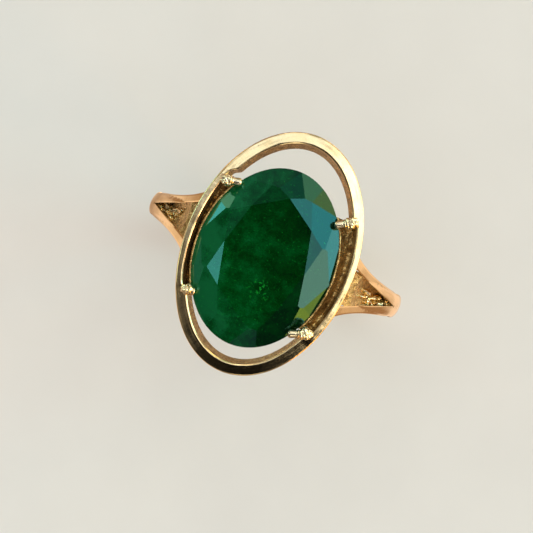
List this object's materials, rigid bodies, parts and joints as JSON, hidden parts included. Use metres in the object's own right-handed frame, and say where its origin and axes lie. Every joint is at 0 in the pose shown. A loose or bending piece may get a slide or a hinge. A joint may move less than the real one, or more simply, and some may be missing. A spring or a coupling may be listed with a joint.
{
  "type": "cocktail ring",
  "caption": "Gold cocktail ring: an oval faceted green gemstone held by claws inside an open oval frame, on split shoulders over a plain half-round shank.",
  "frame": {"origin": "foot of the shank, on the hoop's centre plane, at the lowest point of the ring", "axes": "+Z from the foot up through the gemstone, X across the hoop, Y along the finger"},
  "size_m": [0.0204, 0.0182, 0.0245],
  "materials": {
    "polished_gold": "hand-polished yellow gold with fine wear scratches",
    "cast_gold": "as-cast yellow gold, coarse and unpolished on the inside",
    "emerald": "polished facets over a deep green, included body"
  },
  "bodies": {
    "root": {"shank": "polished_gold", "oval_frame": "polished_gold", "gemstone": "emerald", "right_gallery": "cast_gold", "left_gallery": "cast_gold", "shoulder_arm_right_back": "polished_gold", "shoulder_arm_right_front": "polished_gold", "shoulder_arm_left_back": "polished_gold", "shoulder_arm_left_front": "polished_gold", "claw_right_back": "polished_gold", "claw_right_front": "polished_gold", "claw_left_back": "polished_gold", "claw_left_front": "polished_gold"}
  },
  "joints": []
}
